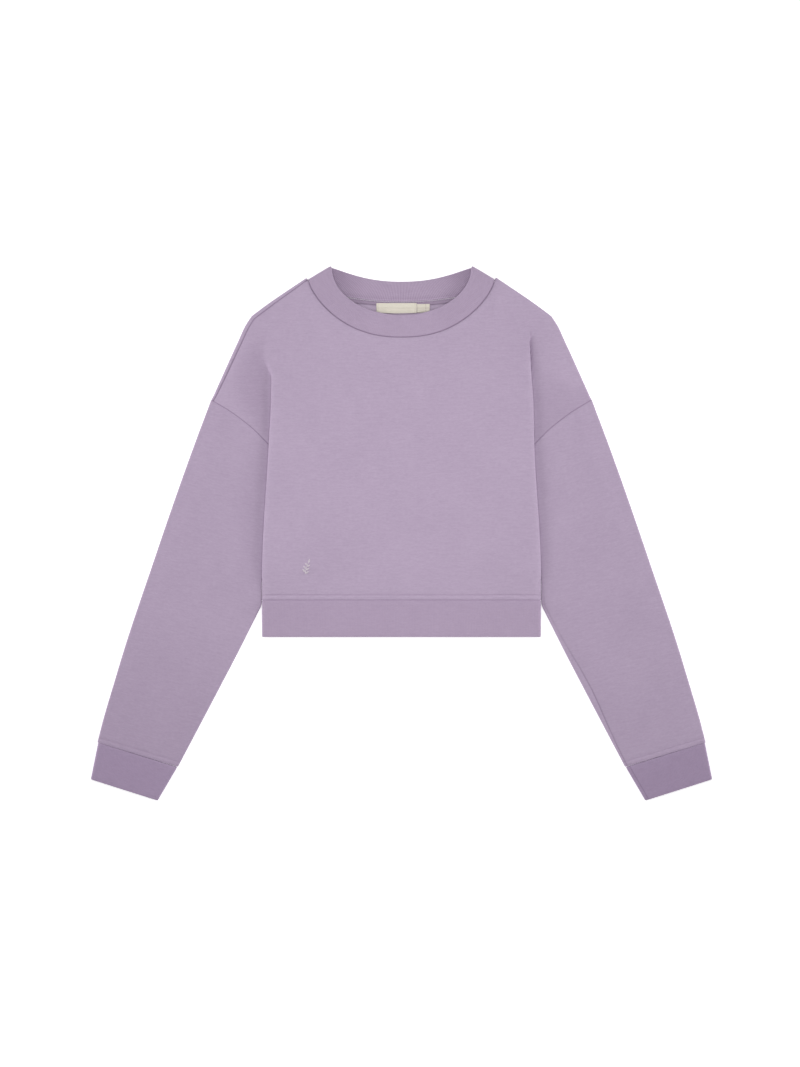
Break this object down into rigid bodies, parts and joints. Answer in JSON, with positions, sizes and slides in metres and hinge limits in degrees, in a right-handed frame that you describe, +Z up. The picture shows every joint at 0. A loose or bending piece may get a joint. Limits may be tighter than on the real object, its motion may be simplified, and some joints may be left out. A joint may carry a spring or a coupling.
{
  "type": "cropped sweatshirt",
  "caption": "Cropped crew-neck sweatshirt laid flat face up, sleeves brought down beside a boxy body, with rib neckband, cuffs and hem band.",
  "frame": {"origin": "on the surface it lies on, under the middle of the laid-out garment", "axes": "+X across the garment to the viewer's right, +Y from the hem to the neck, +Z up out of the front"},
  "size_m": [0.87, 0.7465, 0.0128],
  "materials": {
    "body_jersey": "brushed-back cotton jersey, matt",
    "sleeve_jersey": "brushed-back cotton jersey, matt",
    "rib": "fine cotton rib, folded double, matt",
    "tape": "jersey tape, edge stitched",
    "label": "plain woven ribbon, matt"
  },
  "bodies": {
    "root": {"front_panel": "body_jersey", "back_panel": "body_jersey", "sleeve_left": "sleeve_jersey", "sleeve_right": "sleeve_jersey", "cuff_left": "rib", "cuff_right": "rib", "hem_band": "rib", "neck_band": "rib", "neck_tape": "tape", "neck_label": "label", "size_tab": "label"}
  },
  "joints": []
}
